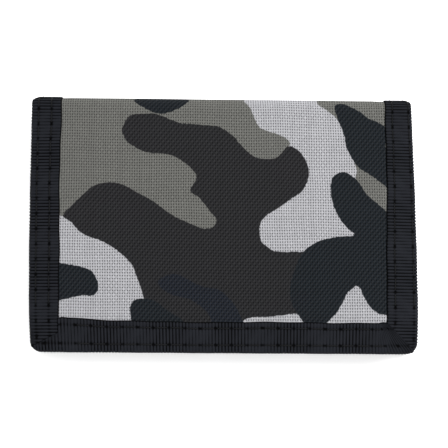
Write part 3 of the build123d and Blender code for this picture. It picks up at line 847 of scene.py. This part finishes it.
def clear_vinyl():
    """Clear soft sheet with faint haze and rub marks."""
    r = Recipe("clear_vinyl", Specular_IOR_Level=0.6)
    strip = r.attribute("strip")
    x, s, _ = r.parts(strip)
    haze = r.noise(strip, 0.15, 5.0)
    rub = r.between(r.noise(r.vector(r.times(x, 0.3), r.times(s, 3.0)), 1.5, 3.0), 0.6, 0.8)
    r.plug("Base Color", r.mix(haze, [0.08, 0.085, 0.09, 1], [0.16, 0.17, 0.18, 1]))
    r.plug("Roughness", r.add(r.times(haze, 0.25), r.vary(rub, 0.08, 0.28)))
    r.plug("Alpha", r.add(r.times(haze, 0.1), r.vary(rub, 0.1, 0.18)))
    r.bump(r.noise(strip, 0.06, 1.0), 0.4, 0.5)
    return r.material


CAMO = camo_cloth()
LINING = nylon("lining_cloth", (30, 31, 34), 0.42)
POCKET = nylon("pocket_cloth", (40, 41, 45), 0.55, roughness=0.55)
BINDING_TAPE = ribbed_tape()
THREAD = thread_material()
HOOK = fuzzy("hook_tape", (36, 37, 39), 2.5)
LOOP = fuzzy("loop_tape", (44, 45, 48), 1.6)
ZIP_TAPE = zipper_tape()
COIL = coil_plastic()
METAL = gunmetal()
VINYL = clear_vinyl()

# -------- the layers that cross the folds
# Each group is one stretch of the strip around one fold. It names the fold's two bodies and a line in y and
# z
# for a bend: at the spine's folds from the middle of one stack to that of the next, at the inner fold
# in the gap between the back panel's tapes and the inner flap's. Nothing here reads them or bends the
# pieces.
MIDDLE_DEPTH = 0.9
INNER_BLEND_START, INNER_BLEND_END = 0.75, 0.2
INNER_FOLD_OUT = INNER_FOLD_Y - INNER_RADIUS
GROUPS = {
    "front": {
        "span": (0.0, S_MID_SPINE),
        "bodies": ("front_spine", "front_flap"),
        "from": (0, SPINE_Y - MIDDLE_DEPTH, TOP - CREASE_RADIUS),
        "to": (0, CREASE_Y, TOP - MIDDLE_DEPTH),
        "nodes": ["front_flap_{}", "upper_fold_{}", "front_spine_{}"],
    },
    "back": {
        "span": (S_MID_SPINE, S_MID_BACK),
        "bodies": ("back_panel", "front_spine"),
        "from": (0, CREASE_Y, MIDDLE_DEPTH),
        "to": (0, SPINE_Y - MIDDLE_DEPTH, CREASE_RADIUS),
        "nodes": ["lower_fold_{}", "back_{}"],
    },
    "inner": {
        "span": (S_MID_BACK, S_END),
        "bodies": ("back_panel", "inner_flap"),
        "from": (0, INNER_FOLD_OUT, INNER_RADIUS - INNER_BLEND_START),
        "to": (0, INNER_FOLD_OUT, INNER_RADIUS - INNER_BLEND_END),
        "nodes": ["inner_fold_{}", "inner_flap_{}"],
    },
}


def bend(piece):
    """Bakes a finished piece's transform into its mesh, and does not bend it."""
    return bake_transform(piece)


def stand_for(piece, group, *endings):
    """The piece replaces the CAD nodes of its group that end so. piece is not used."""
    names = [pattern.format(ending) for pattern in group["nodes"] for ending in endings]
    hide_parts(*[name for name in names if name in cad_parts])


# A cloth's edge lies this far inside the binding's outside.
CLOTH_INSET = 1.7
SHELL_STEP = 0.75
LINING_STEP = 1.5


def group_tapes(name, start, end):
    """The tapes of one stretch of the strip, by side. The banknote mouth is at the right, where
    shell and lining are bound apart."""
    tapes = {
        "left": Tape("left", start, end, (2.3, BINDING - 3.1)),
        "right": Tape("right", start, end, (1.3, BINDING - 2.5), stack=SHELL_STACK, askew=True),
        "lining_right": Tape(
            "right", start, end, (2.2,), wide=LINING_RIGHT - RIGHT + BINDING,
            edge=RIGHT - LINING_RIGHT, top=LINING_TAPE_DEPTH,
        ),
    }
    if name == "front":
        tapes["bottom"] = Tape("start", 0, RIGHT - LEFT, (2.4, BINDING - 1.95))
    if name == "inner":
        tapes["edge"] = Tape("end", 0, RIGHT - LEFT, (2.4, BINDING - 1.95))
    return tapes


def folded_sheets(name, group):
    """Shell and lining of one stretch of the strip, in their bindings, with the sewing thread."""
    start, end = group["span"]
    low = max(start, CLOTH_INSET)
    high = min(end, S_END - CLOTH_INSET)
    across = (LEFT + CLOTH_INSET, RIGHT - CLOTH_INSET)
    grid = slab(steps(*across, SHELL_STEP), steps(low, high, SHELL_STEP), *SHELL_DEPTH)
    shell = make_piece("shell_" + name, [grid], CAMO, print_attributes(grid))
    across = (LEFT + CLOTH_INSET, LINING_RIGHT - CLOTH_INSET)
    grid = slab(steps(*across, LINING_STEP), steps(low, high, LINING_STEP), *LINING_DEPTH)
    lining = make_piece("lining_" + name, [grid], LINING)

    bindings, trims = {}, []
    for side, tape in group_tapes(name, start, end).items():
        grid, weave = tape.grid()
        values = {"tape": [weave]}
        binding = make_piece(f"binding_{name}_{side}", [grid], BINDING_TAPE, values)
        thread = make_piece(f"stitches_{name}_{side}", tape.stitches(), THREAD)
        bindings[side] = binding
        trims += [binding, thread]
    stand_for(shell, group, "shell")
    stand_for(lining, group, "lining")
    stand_for(bindings["left"], group, "binding", "binding_left", "binding_bottom", "binding_edge")
    stand_for(bindings["right"], group, "binding_right")
    stand_for(bindings["lining_right"], group, "lining_binding_right")
    for piece in (shell, lining, *trims):
        bend(piece)


for group_name, settings in GROUPS.items():
    folded_sheets(group_name, settings)


# -------- pockets and their hems
# The hem along a pocket's mouth stands HEM_RISE out from the rest of the panel.
HEM = 3.0
HEM_RISE = 0.22
HEM_EDGE = 0.4
HEM_SEAM = 0.6
HEM_STITCH = 2.6
HEM_THREAD_RADIUS = 0.13
HEM_THREAD_END = 1.5
# Under the tapes a panel lies TUCK closer to the lining.
TUCK = 0.2
PANEL_STEP = 1.5
HEM_STEP = 0.2


def hem_thread(x_low, x_high, s, depth):
    """Grids of a row of stitches across the strip."""
    made = []
    share = np.linspace(0, 1, 7)
    rise = 0.18 * np.sin(math.pi * share) ** 0.4 - 0.1
    for number in range(math.floor((x_high - x_low) / HEM_STITCH)):
        x = x_low + (number + 0.1 + 0.8 * share) * HEM_STITCH
        made.append(tube(points(x, s, depth + rise), HEM_THREAD_RADIUS))
    return made


def pocket(name, node, body, s_closed, s_mouth, depth):
    """A pocket panel with a folded hem along its mouth, on the inner side of a lining."""
    low, high = cad(node)
    thick = high[2] - low[2]
    towards = math.copysign(1, s_mouth - s_closed)

    def inner_face(x, s):
        from_mouth = (s_mouth - s) * towards
        from_tape = np.minimum(x - LEFT, LINING_RIGHT - x) - BINDING
        free = smooth(from_tape / 2)
        hem = smooth((HEM - from_mouth) / HEM_EDGE) * free
        return depth + thick - HEM_RISE * (1 - hem) - TUCK * (1 - free)

    def outer_face(x, s):
        return inner_face(x, s) - thick + HEM_RISE

    hem_start = s_mouth - towards * (HEM + 1)
    s_values = np.concatenate([
        steps(s_closed, hem_start, PANEL_STEP)[:-1],
        steps(hem_start, s_mouth, HEM_STEP),
    ])
    x_values = steps(low[0] + CLOTH_INSET, high[0] - CLOTH_INSET, PANEL_STEP)
    panel = make_piece(name, [slab(x_values, s_values, outer_face, inner_face)], POCKET)
    seam = s_mouth - towards * (HEM - HEM_SEAM)
    inset = BINDING + HEM_THREAD_END
    stitches = hem_thread(LEFT + inset, LINING_RIGHT - inset, seam, depth + thick)
    thread = make_piece(name + "_thread", stitches, THREAD)
    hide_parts(node)
    for piece in (panel, thread):
        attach(piece, body)


def pockets():
    """Three tiers of card pockets, the card pocket behind the window and the coin pocket."""
    for tier in ("front", "middle", "back"):
        node = "card_pocket_" + tier
        low, high = cad(node)
        places = on_inner(high[1]), on_inner(low[1]), INNER_TOP - high[2]
        pocket("pocket_" + tier, node, "inner_flap", *places)
    low, high = cad("back_card_pocket")
    places = on_back(low[1]), on_back(high[1]), low[2]
    pocket("pocket_back_panel", "back_card_pocket", "back_panel", *places)
    low, high = cad("coin_pocket_panel")
    places = on_front(low[1] + CLOTH_INSET), on_front(high[1]), TOP - high[2]
    pocket("coin_pocket", "coin_pocket_panel", "front_flap", *places)


pockets()

# -------- identity window
FRAME_TAPE = 6.0
FRAME_TAPE_BASE = 0.1
FRAME_RIB_HEIGHT = 0.12
FRAME_POINTS = 9
WINDOW_STEP = 1.5
WINDOW_SLACK = 0.05


def frame_side(turn, low, high):
    """One of the frame's four tapes: its grid and its (t, u, relief) for the material."""
    middle = (low + high) / 2
    half = (high - low) / 2
    share = np.linspace(0, 1, FRAME_POINTS)
    rise = np.sin(math.pi * share) ** 0.35 * (high[2] - low[2])
    along_x = turn % 2 == 0
    length, across = (half[0], half[1]) if along_x else (half[1], half[0])
    sign = 1 if turn < 2 else -1
    t = steps(-1, 1, 2 / round(2 * length / (RIB_PITCH / RIB_STATIONS)))
    t, w = np.meshgrid(t, share, indexing="ij")
    place_along = t * (length - FRAME_TAPE * w)
    place_across = sign * (across - FRAME_TAPE * w)
    ribs = FRAME_RIB_HEIGHT * np.abs(np.sin(math.pi * place_along / RIB_PITCH))
    x = middle[0] + (place_along if along_x else place_across)
    s = on_back(middle[1] + (place_across if along_x else place_along))
    base = low[2] + FRAME_TAPE_BASE
    upper = points(x, s, base + 0.05 + np.maximum(rise, 0.05) + ribs * rise)
    lower = points(x, s, base)
    weave = points(place_along, 2 + FRAME_TAPE * w, FRAME_RIB_HEIGHT - ribs)
    return closed(upper, lower), closed(weave, weave)


def window_frame():
    """The tape frame of the clear window: a ring with a crowned section, mitred at the corners."""
    sides = [frame_side(turn, *cad("id_window_frame")) for turn in range(4)]
    grids = [grid for grid, weave in sides]
    values = {"tape": [weave for grid, weave in sides]}
    piece = make_piece("window_frame", grids, BINDING_TAPE, values)
    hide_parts("id_window_frame")
    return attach(piece, "back_panel")


def window_sheet():
    """The clear sheet behind the frame, with a slight wave."""
    low, high = cad("id_window")

    def face(level):
        def depth(x, s):
            return level + WINDOW_SLACK * (1 + np.sin(x / 9) * np.sin(s / 11))
        return depth

    x_values = steps(low[0], high[0], WINDOW_STEP)
    s_values = on_back(steps(low[1], high[1], WINDOW_STEP))
    grid = slab(x_values, s_values, face(low[2] + WINDOW_SLACK), face(high[2] - WINDOW_SLACK))
    piece = make_piece("window_sheet", [grid], VINYL)
    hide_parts("id_window")
    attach(piece, "back_panel")


window_sheet()
window_frame()

# -------- hook and loop patches
GROUND_STEP = 1.0
HOOK_GROUND = 0.4
HOOK_PITCH = (1.3, 1.5)
HOOK_RADIUS = 0.22
HOOK_WIRE = 0.09
LOOP_GROUND = 0.3
LOOP_COUNT = 900
LOOP_SIZE = (0.3, 0.48)
LOOP_WIRE = 0.05
WIRE_SIDES = 4


def patch_ground(low, high, to_strip, outer, inner):
    """Grid of a patch's woven ground."""
    s_values = to_strip(steps(low[1], high[1], GROUND_STEP))
    return slab(steps(low[0], high[0], GROUND_STEP), s_values, outer, inner)


def hook_patch():
    """Rows of small hooks that bend alternately, on a woven ground."""
    low, high = cad("hook_patch")
    ground = TOP - high[2]
    top = ground + HOOK_GROUND
    grids = [patch_ground(low, high, on_front, ground, top)]
    x_hooks = steps(low[0] + 1, high[0] - 1, HOOK_PITCH[0])
    y_hooks = steps(low[1] + 1, high[1] - 1, HOOK_PITCH[1])
    turn = np.linspace(0, 1.25 * math.pi, 7)
    rise = np.concatenate([[-0.1, 0.1], 0.18 + 0.2 * np.sin(turn)])
    bend_over = np.concatenate([[0, 0], HOOK_RADIUS * (1 - np.cos(turn))])
    for row, y in enumerate(y_hooks):
        lean = 1 if row % 2 else -1
        for x in x_hooks:
            path = points(x, on_front(y) + lean * bend_over, top + rise)
            grids.append(tube(path, HOOK_WIRE, WIRE_SIDES))
    piece = make_piece("hook_patch_hooks", grids, HOOK)
    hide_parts("hook_patch")
    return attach(piece, "front_flap")


def loop_patch():
    """A ground covered in small loops of yarn that stand at all angles."""
    low, high = cad("loop_patch")
    ground = INNER_TOP - low[2]
    grids = [patch_ground(low, high, on_inner, ground - LOOP_GROUND, ground)]
    chance = np.random.default_rng(5)
    arc = np.linspace(-0.1, 1.1, 8) * math.pi
    for _ in range(LOOP_COUNT):
        x = chance.uniform(low[0] + 0.8, high[0] - 0.8)
        y = chance.uniform(low[1] + 0.8, high[1] - 0.8)
        angle, size = chance.uniform(0, math.pi), chance.uniform(*LOOP_SIZE)
        reach = size * np.cos(arc)
        rise = LOOP_GROUND + size * np.sin(arc)
        x_path = x + reach * math.cos(angle)
        s_path = on_inner(y) + reach * math.sin(angle)
        grids.append(tube(points(x_path, s_path, ground - rise), LOOP_WIRE, WIRE_SIDES))
    piece = make_piece("loop_patch_loops", grids, LOOP)
    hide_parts("loop_patch")
    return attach(piece, "inner_flap")


hook_patch()
loop_patch()

# -------- zip
ZIP_CORD = 0.15
ZIP_CORD_REACH = 0.7
COIL_PITCH = 1.25
COIL_WIRE = 0.27
COIL_POINTS = 12
COIL_OVERLAP = 0.45


def zip_tape(side):
    """One woven half of the zip, with a cord edge along its coil. Only a part of its width shows,
    and the rest is sewn under."""
    low, high = cad("zipper_tape_" + side)
    s_values = on_front(steps(low[1], high[1], 0.4))
    coil_side = on_front(high[1] if side == "upper" else low[1])

    def inner_face(x, s):
        return TOP - low[2] + ZIP_CORD * dent(s - coil_side, ZIP_CORD_REACH)

    grid = slab(steps(low[0], high[0], 1.0), s_values, TOP - high[2], inner_face)
    piece = make_piece("zip_tape_" + side, [grid], ZIP_TAPE)
    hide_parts("zipper_tape_" + side)
    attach(piece, "front_flap")


def zip_coil(side):
    """A flattened helix of nylon wire. The two coils mesh along the middle of the zip, and are
    straight in space, as the slider's way is."""
    low, high = cad("zipper_coil_" + side)
    upper = side == "upper"
    middle_y = (low[1] + high[1] + (COIL_OVERLAP if upper else -COIL_OVERLAP)) / 2
    half_y = (high[1] - low[1] + COIL_OVERLAP) / 2 - COIL_WIRE
    half_z = (high[2] - low[2]) / 2 - COIL_WIRE
    turns = math.floor((high[0] - low[0] - 2 * COIL_WIRE) / COIL_PITCH)
    turn = np.linspace(0, 2 * math.pi * turns, turns * COIL_POINTS + 1)
    x = low[0] + COIL_WIRE + turn / (2 * math.pi) * COIL_PITCH + (0 if upper else COIL_PITCH / 4)
    y = middle_y + half_y * np.cos(turn + (0 if upper else math.pi))
    z = (low[2] + high[2]) / 2 + half_z * np.sin(turn)
    grid = tube(points(x, y, z), COIL_WIRE)
    piece = make_piece("zip_coil_" + side, [grid], COIL, in_space=True)
    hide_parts("zipper_coil_" + side)
    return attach(piece, "front_flap")


for zip_side in ("upper", "lower"):
    zip_tape(zip_side)
    zip_coil(zip_side)

for metal_node in ("zip_slider", "zip_pull", "zipper_stops"):
    metal_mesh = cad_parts[metal_node].data
    metal_mesh.materials.clear()
    metal_mesh.materials.append(METAL)

# -------- floor, light and camera, in metres
FLOOR_SIZE = 3.0
FLOOR_DROP = 0.0002
FLOOR_GLOW = 0.45


def floor():
    """A plain pale floor just under the wallet."""
    mesh = bpy.data.meshes.new("floor")
    half = FLOOR_SIZE / 2
    corners = [(-half, -half), (half, -half), (half, half), (-half, half)]
    mesh.from_pydata([(x, y, -FLOOR_DROP) for x, y in corners], [], [(0, 1, 2, 3)])
    r = Recipe("floor", Roughness=0.9, Specular_IOR_Level=0.1, Emission_Strength=FLOOR_GLOW)
    r.shader.inputs["Emission Color"].default_value = (1, 1, 1, 1)
    grain = r.noise(r.node("TexCoord", "Object"), 40.0, 2.0)
    r.plug("Base Color", r.mix(grain, [0.93, 0.93, 0.93, 1], [0.95, 0.95, 0.95, 1]))
    mesh.materials.append(r.material)
    plane = bpy.data.objects.new("floor", mesh)
    bpy.context.scene.collection.objects.link(plane)


def soft_light(name, spot, size, power):
    """A square soft light that faces the wallet."""
    lamp = bpy.data.lights.new(name, "AREA")
    lamp.energy = power
    lamp.size = size
    thing = bpy.data.objects.new(name, lamp)
    thing.location = spot
    thing.rotation_euler = (-Vector(spot)).to_track_quat("-Z", "Y").to_euler()
    bpy.context.scene.collection.objects.link(thing)


def surroundings(strength):
    """An even white studio."""
    world = bpy.data.worlds.new("studio")
    world.use_nodes = True
    background = world.node_tree.nodes["Background"]
    background.inputs["Color"].default_value = (1, 1, 1, 1)
    background.inputs["Strength"].default_value = strength
    bpy.context.scene.world = world


CAMERA_TILT = math.radians(10.0)
CAMERA_DISTANCE = 0.43
CAMERA_LENS = 105.0
CAMERA_ROLL = math.radians(0.35)
CAMERA_AIM = Vector((0.0005, 0.0007, TOP * MM / 2))


def camera():
    """Looks down on the front, a little from the side of the free edge."""
    lens = bpy.data.cameras.new("camera")
    lens.lens = CAMERA_LENS
    lens.clip_start = 0.01
    thing = bpy.data.objects.new("camera", lens)
    bpy.context.scene.collection.objects.link(thing)
    away = Vector((0, -math.sin(CAMERA_TILT), math.cos(CAMERA_TILT)))
    turn = (-away).to_track_quat("-Z", "Y").to_matrix().to_4x4()
    spin = Matrix.Rotation(CAMERA_ROLL, 4, "Z")
    thing.matrix_world = Matrix.Translation(CAMERA_AIM + away * CAMERA_DISTANCE) @ turn @ spin
    bpy.context.scene.camera = thing


floor()
surroundings(0.5)
soft_light("key", (0.5, 0.35, 0.7), 0.6, 12.5)
soft_light("fill", (-0.5, -0.1, 0.8), 0.8, 3.5)
camera()
bpy.context.scene.view_settings.view_transform = "Standard"
